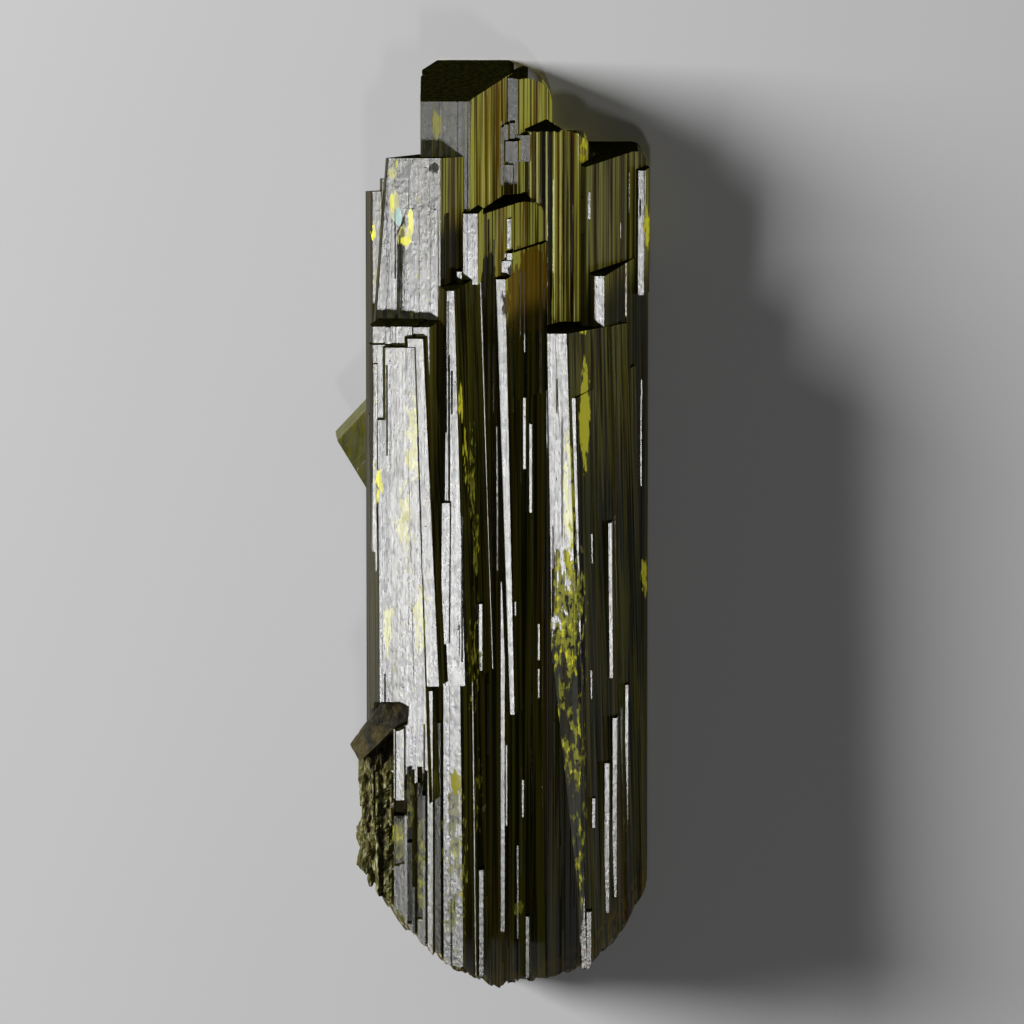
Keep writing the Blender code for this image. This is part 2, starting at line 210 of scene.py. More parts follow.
MIDDLE = [
    Prism("middle", Edge(-2.87, 1.9, R_RUN), Edge(-1.88, 4.6, 0.95), 8.2, 51.10, back=1.6, shoulder=2.0),
    Prism("middle_flank", Edge(-4.06, 0.8, R_RUN), Edge(-4.01, 2.6, 0.62), 10.3, 51.90, foot=38.0,
          back=5.0, shoulder=0.6),
    Prism("middle_rib", Edge(-2.87, 1.0, 0.2), Edge(-1.88, 1.2, 0.25), 9.15, 51.55, foot=46.8, back=6.5),
    Prism("middle_low", Edge(-1.20, 1.0, R_RUN), Edge(0.25, 2.4, 0.95), 6.45, 48.00, foot=38.0, back=1.8),
    Prism("needle", Edge(-0.77, 1.0, R_RUN, 0.031), Edge(-0.13, 1.2, A_RUN, 0.019), 7.5, 46.60, foot=17.2,
          back=3.0),
]
CENTRE_LEFT = [
    Prism("centre_left", Edge(-3.89, 1.6, R_RUN, -0.012), Edge(-3.38, 3.8, A_RUN, 0.030), 11.5, 47.15,
          foot=20.55, back=2.0),
    Prism("centre_left_low", Edge(-4.15, 1.4, R_RUN), Edge(-3.05, 3.8, A_RUN, 0.010), 11.0, 24.0,
          back=2.3),
]
FRONT_LEFT = [
    Prism("front_left", Edge(-7.82, 0.4, R_RUN, 0.004), Edge(-5.90, 2.6, A_RUN, 0.030), 12.7, 43.75,
          foot=13.0, back=2.6),
    Prism("front_left_side", Edge(-8.62, 0.4, R_RUN, 0.018), Edge(-7.60, 2.6, A_RUN, 0.018), 12.42, 43.85,
          foot=34.5, back=2.6),
    Prism("front_left_low", Edge(-8.30, 1.2, R_RUN, 0.006), Edge(-7.40, 2.0, A_RUN, 0.018), 12.68, 38.90,
          foot=13.0, back=2.6),
    Prism("front_left_rim", Edge(-6.40, 1.0, R_RUN, 0.030), Edge(-5.36, 2.6, A_RUN, 0.043), 12.62, 44.32,
          foot=20.90, back=6.0),
    Prism("front_left_top", Edge(-8.60, 0.4, R_RUN), Edge(-6.05, 1.6), 12.2, 45.00, foot=38.0, back=2.8),
    Prism("front_left_block", Edge(-6.10, 0.6, R_RUN), Edge(-4.95, 2.2), 12.1, 44.92, foot=38.0,
          back=6.0),
    Prism("corner", Edge(-8.20, 0.6, R_RUN), Edge(-5.10, 2.8), 12.1, 23.0, back=2.9),
]
CENTRE_RIGHT = [
    Prism("centre_right", Edge(2.49, 4.5, 0.0, 0.056), Edge(3.77, 5.6, 0.70, 0.030), 9.8, 43.71, back=0.6,
          top_tilt=-0.20),
    Prism("centre_right_face", Edge(2.49, 4.5, 0.0, 0.014), Edge(3.60, 2.0, 0.20, 0.030), 9.79, 43.69,
          foot=21.5, back=0.8, top_tilt=-0.20),
    Prism("centre_right_wedge", Edge(2.80, 4.5, 0.0, 0.102), Edge(4.00, 2.0, 0.20, 0.030), 9.79, 22.4,
          foot=2.5, back=0.8),
    Prism("centre_right_low", Edge(3.20, 3.0, 0.0, 0.040), Edge(4.34, 6.6, 0.58, 0.022), 9.55, 39.30,
          back=0.8),
]
BACKING = [
    Prism("backing", Edge(-4.40, 0.6, 0.0), Edge(6.10, 2.3), 3.0, 42.00, back=0.035),
]
SIDE = Prism("side", Edge(-4.3, 0.6, R_RUN), Edge(-0.45, 0.95), 1.0, 0.0, foot=-7.5, back=-1.3)
GROUPS = [SUMMIT, GROOVED, UPPER_LEFT, RIGHT, MIDDLE, CENTRE_LEFT, FRONT_LEFT, CENTRE_RIGHT, BACKING]


@dataclass
class Lath:
    """A thin crystal on a face. It stands lift proud of whatever prism is under its middle."""

    x: float
    width: float
    top: float
    foot: float
    lift: float = 0.25
    drift: float = 0.0
    lean: float = 0.0


LATHS = [Lath(*row) for row in (
    (-0.38, 0.18, 55.80, 51.85, 0.35), (-0.22, 0.44, 55.84, 54.80, 0.25),
    (0.28, 0.29, 55.93, 54.90, 0.30), (0.23, 0.80, 54.77, 53.40, 0.50), (0.96, 0.90, 55.06, 53.30, 0.60),
    (0.02, 0.60, 53.10, 50.50, 0.20), (0.07, 0.24, 50.30, 48.30, 0.30), (0.10, 0.32, 48.15, 47.70, 0.45),
    (-0.10, 0.60, 47.60, 46.40, 0.35), (-3.10, 0.30, 47.90, 46.80, 0.8),
    (-7.62, 0.30, 45.00, 43.90, 0.16), (-8.40, 0.24, 42.60, 30.0, 0.12, -0.010),
    (-3.95, 0.50, 33.0, 23.5, 0.30, -0.01), (-4.98, 0.32, 20.50, FOOT, 0.55),
    (-6.90, 0.50, 18.20, 12.80, 0.35), (-4.50, 0.36, 18.0, FOOT, 0.55, 0.0, 0.04),
    (6.52, 0.20, 30.0, 19.5, 0.30, 0.01), (6.85, 0.26, 16.8, 4.6, 0.28), (7.62, 0.18, 18.6, 9.0, 0.22),
    (5.50, 0.18, 12.0, 10.0, 0.25), (6.35, 0.28, 14.0, 3.8, 0.28), (5.20, 0.28, 4.60, FOOT, 0.30),
    (-1.72, 0.26, 7.2, FOOT, 0.55), (1.25, 0.20, 2.6, FOOT, 0.40), (-0.34, 0.24, 26.0, 2.2, 0.45),
    (-1.75, 0.20, 25.5, 21.0, 0.25), (1.05, 0.16, 40.0, 33.1, 0.20), (1.45, 0.16, 36.0, 30.0, 0.24),
    (3.00, 0.18, 21.5, 16.5, 0.35),
)]


@dataclass
class Patch:
    """A tinted place on the stone: its middle, half sizes, colour's name, and how fully specks cover it."""

    x: float
    y: float
    half_x: float
    half_y: float
    colour: str = "lemon"
    strength: float = 1.0
    cover: float = 0.26
    rough: float = 0.3


@dataclass
class Look:
    """How a group of crystals takes the light. gold, from gold_from to gold_to, sets the painted light of its
    thin ends.
    """

    gold: float = 0.2
    gold_from: float = 42.0
    gold_to: float = 50.0
    polish: float = 0.13
    flecks: float = 0.0
    gold_broad: float = 0.0
    umber: float = 0.4
    dull_below: float = -20.0
    dull_under: float = 99.0
    dull: float = 0.42
    patches: list = field(default_factory=list)


# The grooved crystal's grooves and ribs: painted shade in the grooves, and painted highlights on the ribs.
GROOVE_SHADE_AND_RIB_LIGHTS = [
    Patch(2.23, 49.0, 0.17, 9.0, "ink", cover=0.7), Patch(2.68, 49.0, 0.15, 9.0, "ink", cover=0.7),
    Patch(4.05, 49.0, 0.09, 8.0, "ink", cover=0.6), Patch(3.55, 49.0, 0.05, 8.0, "ink", cover=0.6),
]
GROOVE_SHADE_AND_RIB_LIGHTS += [
    Patch(x, 50.0, half_x, 8.0, "straw", cover=0.6)
    for x, half_x in ((1.40, 0.08), (1.85, 0.07), (2.46, 0.05), (2.98, 0.07), (3.35, 0.06))
]

LOOKS = {
    "summit_crystals": Look(gold=1.0, gold_from=46.0, gold_to=50.0, polish=0.24, patches=[
        Patch(-4.6, 57.2, 0.35, 1.0, strength=0.25),
    ]),
    "grooved_crystals": Look(gold=1.0, gold_from=40.0, gold_to=44.0, gold_broad=1.0, dull_below=34.0,
                             patches=[Patch(4.80, 54.0, 0.25, 1.1), *GROOVE_SHADE_AND_RIB_LIGHTS]),
    "upper_left_crystals": Look(gold=0.8, gold_from=50.0, gold_to=52.0, flecks=0.25, patches=[
        Patch(-7.30, 55.1, 0.35, 0.8, strength=0.5, rough=0.1), Patch(-8.60, 50.6, 0.2, 0.8, rough=0.1),
        Patch(-7.20, 52.5, 0.30, 1.0, "straw", 0.9, 0.4, 0.05),
        Patch(-7.35, 52.7, 0.16, 0.6, cover=0.4, rough=0.05),
        Patch(-6.98, 51.8, 0.26, 0.6, "glint", 0.9, 0.45, 0.05),
        Patch(-6.22, 51.2, 0.20, 1.1, cover=0.4, rough=0.05),
        Patch(-6.55, 50.5, 0.50, 0.7, "straw", 0.9, 0.45, 0.05),
        Patch(-6.50, 50.2, 0.45, 0.3, cover=0.4, rough=0.05),
        Patch(-6.70, 50.7, 0.14, 0.30, "amber", 0.8, 0.5, 0.1),
        Patch(-4.75, 55.0, 0.30, 0.45, "ink", 0.8, 0.3),
    ]),
    "right_crystals": Look(gold=0.3, gold_from=44.0, gold_to=47.5, patches=[
        Patch(8.93, 48.5, 0.25, 1.6), Patch(7.60, 19.1, 0.22, 1.6, strength=0.7),
        Patch(8.75, 24.5, 0.25, 1.4, strength=0.5),
    ]),
    "middle_crystals": Look(gold=0.9, gold_from=43.2, gold_to=45.2, patches=[
        Patch(1.35, 45.0, 1.5, 3.0, "amber", 0.85, 0.5), Patch(-3.62, 49.3, 0.55, 3.4, "ink", 0.9, 0.6, 0.0),
        Patch(-1.25, 45.2, 0.45, 3.4, "ink", 0.9, 0.6, 0.0), Patch(0.70, 3.3, 0.40, 0.5, "moss", 0.5),
    ]),
    "centre_left_crystals": Look(gold=0.05, gold_from=30.0, gold_to=44.0, flecks=0.2, patches=[
        Patch(-3.00, 39.4, 0.16, 1.4), Patch(-2.75, 35.8, 0.14, 1.7, strength=0.8),
        Patch(-3.45, 8.2, 0.75, 7.0, "moss", 1.0, 0.24, 0.12),
        Patch(-3.35, 13.9, 0.35, 0.8, cover=0.3, rough=0.2), Patch(-2.30, 34.0, 0.30, 3.5, "moss", 0.7, 0.2),
        Patch(-2.05, 29.5, 0.20, 2.5, "moss", 0.7, 0.2), Patch(-2.20, 22.0, 0.45, 4.0, "moss", 0.6, 0.16),
        Patch(-2.00, 12.0, 0.40, 3.0, "moss", 0.4, 0.14), Patch(-1.53, 11.05, 0.14, 0.28, "straw"),
    ]),
    "front_left_crystals": Look(gold=0.1, gold_from=34.0, gold_to=44.0, flecks=0.35, dull_below=13.5,
                                dull_under=12.25, dull=0.06, patches=[
        Patch(-6.10, 37.6, 0.45, 3.2, strength=0.4, rough=0.03),
        Patch(-7.66, 24.7, 0.3, 2.0, strength=0.4, rough=0.03),
        Patch(-8.17, 34.5, 0.25, 1.3, strength=0.8, rough=0.1),
        Patch(-6.60, 31.5, 0.5, 3.4, strength=0.35, rough=0.03),
        Patch(-5.60, 25.5, 0.4, 3.4, strength=0.35, rough=0.03),
        Patch(-7.00, 12.4, 0.45, 0.8, "umber", cover=0.8),
        Patch(-7.05, 10.3, 0.40, 1.4, "moss", 0.4, 0.4, 0.15),
        Patch(-5.60, 8.5, 0.30, 3.6, "moss", 0.4, 0.26, 0.2),
        Patch(-6.25, 12.5, 0.30, 2.2, "moss", 0.4, 0.26, 0.3),
        Patch(-7.60, 19.0, 0.9, 0.7, "umber", cover=0.9),
    ]),
    "centre_right_crystals": Look(gold=0.12, gold_from=30.0, gold_to=42.0, flecks=0.2, patches=[
        Patch(4.15, 13.0, 0.8, 12.0, "ink", cover=0.8),
        Patch(3.30, 19.0, 0.8, 4.6, "ink", cover=0.7), Patch(4.55, 12.0, 0.5, 7.0, "moss", 0.7, 0.16),
        Patch(3.80, 25.0, 1.1, 5.0, "moss"), Patch(3.85, 19.5, 1.1, 7.0, "moss", 0.8, 0.16),
        Patch(3.90, 32.5, 0.40, 4.5, strength=0.5, rough=0.05),
        Patch(3.45, 34.5, 0.07, 5.5, "frost", 0.7, 0.5, 0.2),
        Patch(4.90, 37.8, 0.34, 3.4, strength=0.7, cover=0.4), Patch(4.80, 43.5, 0.3, 0.4),
    ]),
    "backing_crystal": Look(),
    "side_crystal": Look(gold=0.0, umber=0.1, patches=[
        Patch(-10.0, 33.5, 3.0, 4.5, "gold", 0.15, 2.0, 0.1),
    ]),
}


def length_prop(name, description, default, least=0.0):
    return FloatProperty(name=name, description=description, default=default, min=least, unit="LENGTH")


def colour_prop(name, description, default):
    return FloatVectorProperty(name=name, description=description, default=default, subtype="COLOR")


def power_prop(name, description, default):
    return FloatProperty(name=name, description=description, default=default, subtype="POWER")


class EpidoteShape(bpy.types.PropertyGroup):
    """The sizes of the fine growth, in metres."""

    pitch: length_prop("Striation pitch", "Usual distance between two growth lines", 0.0003, 0.00005)
    ridge: length_prop("Ridge height", "How proud a growth line stands on a steep face", 0.00003)
    terrace: length_prop("Terrace height", "Step between two levels of a broad face", 0.000022)
    station: length_prop("Station gap", "Distance along a crystal between its cross-sections", 0.0022, 0.0005)
    grain: length_prop("Break grain", "Roughness of the broken surfaces", 0.00016)
    laths: IntProperty(name="Fine laths", description="Thin crystals strewn over the front",
                       default=150, min=0)
    seed: IntProperty(name="Seed", description="Start of the random growth", default=11)


class EpidoteColours(bpy.types.PropertyGroup):
    """The stone's colours."""

    ink: colour_prop("Ink", "Depth of the stone", (0.006, 0.006, 0.002))
    olive: colour_prop("Olive", "Dark green streaks", (0.042, 0.040, 0.004))
    umber: colour_prop("Umber", "Dark brown streaks", (0.062, 0.036, 0.003))
    gold: colour_prop("Gold", "Stripes where light comes through", (0.36, 0.36, 0.05))
    amber: colour_prop("Amber", "Orange brown stripes", (0.13, 0.068, 0.003))
    straw: colour_prop("Straw", "Pale lines between the stripes", (0.60, 0.58, 0.22))
    lemon: colour_prop("Lemon", "Brightest spots", (0.80, 0.76, 0.03))
    glint: colour_prop("Glint", "Heart of the coloured film on the upper left face", (0.45, 0.75, 0.70))
    moss: colour_prop("Moss", "Mottled weathered patches", (0.28, 0.28, 0.03))
    # Ash also stands for painted highlights on the crests of the breaks.
    ash: colour_prop("Ash", "Pale splinters on the breaks", (0.34, 0.34, 0.27))
    frost: colour_prop("Frost", "Fine bloom on the broad faces", (0.050, 0.050, 0.043))


class StudioSettings(bpy.types.PropertyGroup):
    """The floor and the lights."""

    floor: colour_prop("Floor", "Colour of the floor", (0.72, 0.72, 0.73))
    face_power: power_prop("Face light", "Softbox that the broad faces mirror", 0.15)
    key_power: power_prop("Key light", "Large softbox on the left", 5.0)
    side_power: power_prop("Side light", "Low softbox on the right", 0.45)
    sky: FloatProperty(name="Sky", description="Brightness of the surroundings", default=0.03, min=0.0)


def corner_points(prism):
    """The corners of a prism's cross-section as (x, z), from the c face's left edge and round clockwise."""
    left, right = prism.left, prism.right
    a_foot = (right.x + right.run * right.depth, prism.front - right.depth)
    r_foot = (left.x - left.run * left.depth, prism.front - left.depth)
    meeting = (R_RUN * a_foot[1] + A_RUN * r_foot[1] - (a_foot[0] - r_foot[0])) / (R_RUN + A_RUN)
    back = max(prism.back, meeting + 0.3)
    back_right = (a_foot[0] - R_RUN * (a_foot[1] - back), back)
    back_left = (r_foot[0] + A_RUN * (r_foot[1] - back), back)
    corners = [(left.x, prism.front), (right.x, prism.front), a_foot, back_right, back_left, r_foot]
    return [Vector(corner) for corner in corners]


@dataclass
class Ridge:
    """A growth line: its start and end along a side, its crest from the start, and the lift kept at its end.

    The phase sets where along the crystal it fades.
    """

    start: float
    end: float
    crest: Vector
    kept: float
    phase: float

    def strength(self, y):
        """Growth lines swell and fade along the crystal."""
        return min(1.0, max(0.0, 0.6 + 1.3 * noise.noise(Vector((self.phase, y * 0.09, 0.5)))))


def steep_ridges(length, shape, rng):
    """Ridges for a slanting face. Some have a tread that is level with the c face and lights up with it."""
    ridges = []
    at = 0.04
    while at < length - 0.10:
        pitch = shape.pitch / MM * rng.uniform(0.45, 1.7)
        end = min(at + pitch, length - 0.05)
        if rng.random() < 0.06:
            tread = (end - at) * rng.uniform(0.15, 0.45)
            crest = Vector((tread * math.cos(A_ANGLE), tread * math.sin(A_ANGLE)))
        else:
            crest = Vector(((end - at) * rng.uniform(0.2, 0.7), shape.ridge / MM * rng.uniform(0.2, 1.2)))
        ridges.append(Ridge(at, end, crest, rng.uniform(0.0, 0.4), rng.uniform(0, 90)))
        at = end + 0.015
    return ridges


def level_ridges(length, shape, rng):
    """Terraces for a broad face: low steps, each level with the face."""
    ridges = []
    at = 0.06
    while at < length - 0.2:
        end = min(at + rng.uniform(0.20, 1.5), length - 0.05)
        crest = Vector((0.012, shape.terrace / MM * rng.uniform(0.4, 1.5)))
        ridges.append(Ridge(at, end, crest, 1.0, rng.uniform(0, 90)))
        at = end + 0.02
    return ridges


def grooved_ridges(length, count, shape, rng):
    """Deep full-length grooves: blunt ribs with finer lines between them."""
    ridges = []
    for i in range(count):
        start, end = length * (i + 0.06) / count, length * (i + 0.72) / count
        crest = Vector(((end - start) * 0.3, rng.uniform(0.16, 0.30)))
        ridges.append(Ridge(start, end, crest, rng.uniform(0.5, 0.9), 40.0))
        ridges.append(Ridge(end + 0.02, end + 0.09, Vector((0.03, 0.03)), 0.2, rng.uniform(0, 90)))
    return ridges


def side_ridges(prism, shape, rng):
    """The growth lines on each of a prism's six sides."""
    corners = corner_points(prism)
    sides = []
    for i in range(6):
        length = (corners[(i + 1) % 6] - corners[i]).length
        if i == 0 and prism.grooves:
            sides.append(grooved_ridges(length, prism.grooves, shape, rng))
        elif i in (0, 3):
            sides.append(level_ridges(length, shape, rng))
        else:
            sides.append(steep_ridges(length, shape, rng))
    return sides


def outline(prism, sides, y):
    """The cross-section at the height y, with its growth lines."""
    corners = corner_points(prism)
    points = []
    for i, ridges in enumerate(sides):
        start = corners[i]
        along = (corners[(i + 1) % 6] - start).normalized()
        outward = Vector((-along.y, along.x))
        points.append(start + along * 0.02)
        for ridge in ridges:
            share = ridge.strength(y)
            foot = start + along * ridge.start
            crest = foot + (along * max(ridge.crest.x * share, 0.004) + outward * ridge.crest.y * share)
            end = start + along * ridge.end + outward * ridge.crest.y * share * ridge.kept
            points += [foot, crest, end]
    return points


def drifted(prism, x, y):
    """x at the height y: prisms fan out a little towards the foot."""
    left, right = prism.left, prism.right
    share = min(1.0, max(0.0, (x - left.x) / (right.x - left.x)))
    drift = left.drift + (right.drift - left.drift) * share
    return x + (prism.top - y) * drift


def only(geom, kind):
    """The elements of one kind in a bmesh operator's result."""
    return [element for element in geom if isinstance(element, kind)]


def face_outwards(bm):
    """Turns all faces of a closed mesh outwards, and gives the mesh back."""
    bmesh.ops.recalc_face_normals(bm, faces=bm.faces[:])
    return bm


def round_shoulder(bm, prism, reach):
    """Cuts the top right corner to flats that follow an arc."""
    centre = Vector((reach - prism.shoulder, prism.top - prism.shoulder, 0))
    for angle in SHOULDER_FLATS:
        normal = Vector((math.sin(angle), math.cos(angle), 0))
        cut = bmesh.ops.bisect_plane(
            bm,
            geom=bm.verts[:] + bm.edges[:] + bm.faces[:],
            plane_co=centre + normal * prism.shoulder,
            plane_no=normal,
            clear_outer=True,
        )
        bmesh.ops.edgeloop_fill(bm, edges=only(cut["geom_cut"], bmesh.types.BMEdge))


def place_section(verts, prism, sides, share):
    """Lays a cross-section's corners at this share of the way from the foot to the end face."""
    level = prism.foot + (prism.top - prism.foot) * share
    for vert, point in zip(verts, outline(prism, sides, level)):
        end = prism.top - prism.top_tilt * (point.y - prism.front)
        y = prism.foot + (end - prism.foot) * share
        vert.co = Vector((drifted(prism, point.x, y), y, point.y))


def prism_mesh(prism, shape, rng):
    """A closed, striated prism: its section is drawn out from station to station."""
    sides = side_ridges(prism, shape, rng)
    stations = max(2, round((prism.top - prism.foot) * MM / shape.station))
    bm = bmesh.new()
    count = len(outline(prism, sides, prism.foot))
    section = [bm.verts.new((i, 0, 0)) for i in range(count)]
    face = bm.faces.new(section)
    place_section(section, prism, sides, 0.0)
    for station in range(1, stations + 1):
        drawn = bmesh.ops.extrude_face_region(bm, geom=[face, *face.edges])["geom"]
        face = only(drawn, bmesh.types.BMFace)[0]
        place_section([loop.vert for loop in face.loops], prism, sides, station / stations)
    if prism.shoulder:
        round_shoulder(bm, prism, max(v.co.x for v in bm.verts))
    return face_outwards(bm)


def front_at(x, y):
    """How high the cluster's front stands at x, y, and the group that it belongs to."""
    best = (0.0, None)
    for group in GROUPS:
        for prism in group:
            if not prism.foot <= y <= prism.top:
                continue
            left, right = drifted(prism, prism.left.x, y), drifted(prism, prism.right.x, y)
            height = -1.0
            if left <= x <= right:
                height = prism.front
            elif right < x <= right + prism.right.run * prism.right.depth:
                height = prism.front - (x - right) / prism.right.run
            elif prism.left.run and left - prism.left.run * prism.left.depth <= x < left:
                height = prism.front - (left - x) / prism.left.run
            if height > best[0]:
                best = (height, group)
    return best


def scattered_laths(shape, rng):
    """Fine laths strewn over the front where it is level along their length."""
    found = []
    while len(found) < shape.laths:
        x, middle, half = rng.uniform(-8.4, 8.6), rng.uniform(2, 55), rng.uniform(0.4, 4.5) ** 1.1
        lean = rng.choice((0.0, 1.0, 1.0)) * rng.uniform(-0.35, 0.35)
        width, lift = rng.uniform(0.05, 0.15), rng.uniform(0.02, 0.10)
        lath = Lath(x, width, middle + half, middle - half, lift, lean=lean)
        heights = [front_at(x, y)[0] for y in (middle - half, middle, middle + half + 0.3)]
        if min(heights) > 12.5 and -7.3 < x < -5.4:
            lath.lean, lath.lift = 0.0, lath.lift * 0.5
        if max(heights) - min(heights) < 0.10 and min(heights) > 2.0:
            found.append(lath)
    return found


def lath_mesh(lath):
    """A slender bar with a level or slightly leaning top."""
    front = front_at(lath.x, (lath.top + lath.foot) / 2)[0] + lath.lift
    half, length = lath.width / 2, lath.top - lath.foot
    section = [
        (-half, front - lath.lean * half), (half, front + lath.lean * half), (half * 1.6, front - 0.45),
        (half * 1.2, front - LATH_DEPTH), (-half * 1.2, front - LATH_DEPTH), (-half * 1.5, front - 0.45),
    ]
    bm = bmesh.new()
    foot_x = lath.x + lath.drift * length
    face = bm.faces.new([bm.verts.new((foot_x + x, lath.foot, z)) for x, z in section])
    drawn = bmesh.ops.extrude_face_region(bm, geom=[face])["geom"]
    bmesh.ops.translate(bm, vec=(-lath.drift * length, length, 0), verts=only(drawn, bmesh.types.BMVert))
    return face_outwards(bm)


def deepen(bm, axis, level):
    """Gives a sheet a body: a copy of it is drawn out and laid flat at the level along the axis."""
    drawn = bmesh.ops.extrude_face_region(bm, geom=bm.faces[:])["geom"]
    for vert in only(drawn, bmesh.types.BMVert):
        vert.co[axis] = level
    return face_outwards(bm)


def break_height(x, z, grain):
    """How far up the broken foot reaches at x, z: it climbs to both sides and to the front, in splinters."""
    if x < 0:
        rise = LEFT_RISE * (-x / HALF_WIDTH) ** 1.8
    else:
        rise = RIGHT_RISE * (x / HALF_WIDTH) ** 2.8
    lumps = 0.6 * noise.noise(Vector((x * 0.5, z * 0.5, 3.1)))
    lumps += 0.35 * noise.noise(Vector((x * 1.5, z * 1.5, 7.7)))
    lumps += grain * (noise.cell(Vector((x * 1.7, z * 1.1, 5.0))) - 0.5)
    lumps += grain * noise.fractal(Vector((x * 3.0, z * 3.0, 1.0)), 0.8, 2.1, 3)
    middle_y, middle_z = BREAK_MIDDLE
    return middle_y + rise + BREAK_SLOPE * (z - middle_z) + lumps


def break_cutter(shape):
    """Everything below the broken foot."""
    bm = bmesh.new()
    bmesh.ops.create_grid(bm, x_segments=150, y_segments=100, size=1.0)
    span_x, span_z = BREAK_HALF_SPAN
    for vert in bm.verts:
        x, z = vert.co.x * span_x, (vert.co.y + 1) * span_z - 1.5
        vert.co = Vector((x, break_height(x, z, shape.grain / MM), z))
    return deepen(bm, 1, FOOT - 2.0)


@dataclass
class Fibre:
    """A splinter left in the chipped corner: its width in strands, and its levels from the foot up.

    Each level is its top, its height against the corner's floor, and its lean to the right.
    """

    strands: int
    levels: list


CORNER_FIBRES = [
    Fibre(4, [(8.5, 0.16, 0.015), (11.8, 0.0, 0.045), (13.2, -0.35, 0.30)]),
    Fibre(1, [(12.0, 0.35, 0.0), (15.0, -0.35, 0.30)]),
    Fibre(2, [(4.6, 0.22, 0.01), (10.0, 0.02, 0.06), (15.5, -0.30, 0.09)]),
    Fibre(1, [(7.0, -0.10, 0.04), (15.2, -0.45, 0.30)]),
    Fibre(1, [(14.2, -0.55, -0.30)]),
    Fibre(2, [(4.8, 0.15, 0.01), (13.9, 0.02, 0.055), (15.3, -0.50, 0.2)]),
    Fibre(1, [(9.0, 0.25, 0.0), (13.2, 0.10, 0.03), (14.9, -0.50, 0.2)]),
    Fibre(1, [(15.2, -0.60, -0.30)]),
]


def margin_fibres(rng):
    """Uneven splinters for the rough margin to the left of the corner's fibres."""
    levels = [(MARGIN_TOP, rng.uniform(-0.25, 0.45), rng.uniform(-0.3, 0.3)) for _ in range(MARGIN_STRANDS)]
    return [Fibre(1, [level]) for level in levels]


def corner_cutter(shape):
    """What broke off the lower left corner: it left fibres of uneven height and length, and a rough edge."""
    strands = []
    for fibre in margin_fibres(random.Random(shape.seed)) + CORNER_FIBRES:
        strands += [(fibre, number + 0.5 - fibre.strands / 2) for number in range(fibre.strands)]
    columns = 2 * len(strands) - 1
    bm = bmesh.new()
    bmesh.ops.create_grid(bm, x_segments=columns, y_segments=150, size=1.0)
    for vert in bm.verts:
        strand, side = divmod(round((vert.co.x + 1) / 2 * columns), 2)
        fibre, offset = strands[strand]
        share = 0.97 if side else 0.03
        x = FIBRE_LEFT + STRAND_WIDTH * (strand + share)
        y = (vert.co.y + 1) * CORNER_HALF_HEIGHT
        ragged = y + 0.25 * noise.noise(Vector((x * 2.0, y * 0.3, 5.0)))
        level = next((level for level in fibre.levels if ragged <= level[0]), fibre.levels[-1])
        height = FIBRE_FLOOR + level[1] + level[2] * (offset + share - 0.5) * STRAND_WIDTH
        if x < ROUGH_LEFT_OF:
            height += 0.5 * noise.noise(Vector((x * 0.9, y * 0.6, 2.0)))
            height += 0.35 * noise.fractal(Vector((x * 1.6, y * 1.3, 4.0)), 0.7, 2.1, 4)
            height -= 0.7 * min(1.0, max(0.0, y - 14.5))
        rise = min(1.0, max(0.0, (ragged - fibre.levels[-1][0]) / 0.2))
        vert.co = Vector((x, y, height + rise * 3.0))
    return deepen(bm, 2, CORNER_CEILING)


# What is bitten out above the splinter, as the corners of its hull.
LEDGE_POINTS = [
    (-9.20, 20.0, 13.4), (-6.90, 20.15, 13.4), (-6.15, 19.8, 13.4), (-6.30, 18.3, 13.4), (-7.00, 18.0, 13.4),
    (-9.20, 18.0, 13.4), (-9.20, 19.6, 11.9), (-6.95, 19.6, 11.9), (-6.50, 19.3, 11.9), (-6.55, 18.4, 11.9),
    (-7.10, 18.1, 11.9), (-9.20, 18.1, 11.9),
]


def hull_mesh(points):
    """The closed hull round some points."""
    bm = bmesh.new()
    for point in points:
        bm.verts.new(point)
    inside = bmesh.ops.convex_hull(bm, input=bm.verts[:])["geom_interior"]
    bmesh.ops.delete(bm, geom=only(inside, bmesh.types.BMVert), context="VERTS")
    return face_outwards(bm)


@dataclass
class Lump:
    """A rough lump: its middle and its half sizes."""

    middle: tuple
    half: tuple


CORNER_LUMPS = [
    Lump((-8.60, 13.6, 10.4), (0.85, 2.6, 1.1)),
    Lump((-8.50, 9.6, 10.2), (1.05, 2.6, 1.2)),
]


def lump_mesh(lump, seed):
    """A craggy lump of broken stone."""
    bm = bmesh.new()
    bmesh.ops.create_icosphere(bm, subdivisions=6, radius=1.0)
    for vert in bm.verts:
        place = vert.co.copy()
        swell = 1 + LUMP_WANDER * noise.noise(place * 1.9 + Vector((seed, 2 * seed, 0)))
        swell += 0.10 * noise.fractal(place * 5.0, 0.7, 2.1, 4)
        vert.co = Vector(v * h for v, h in zip(place * swell, lump.half)) + Vector(lump.middle)
    return bm


CHIP_POINTS = [
    (-10.13, 16.2, 10.4), (-9.50, 15.2, 10.9), (-9.50, 15.4, 9.4), (-8.75, 18.6, 12.0), (-8.00, 17.2, 12.3),
    (-7.30, 18.1, 12.5), (-6.50, 18.5, 12.5), (-6.28, 19.3, 12.4), (-6.50, 19.8, 12.3), (-8.00, 19.8, 12.2),
    (-8.70, 17.5, 8.8), (-7.00, 17.8, 9.0), (-7.00, 19.6, 9.0),
]


def chip_mesh():
    """The splinter that juts out above the broken corner, with a hackly surface."""
    bm = hull_mesh(CHIP_POINTS)
    bmesh.ops.subdivide_edges(bm, edges=bm.edges[:], cuts=14, use_grid_fill=True)
    face_outwards(bm).normal_update()
    for vert in bm.verts:
        vert.co += vert.normal * 0.06 * noise.fractal(vert.co * 1.5, 0.7, 2.1, 4)
    return bm


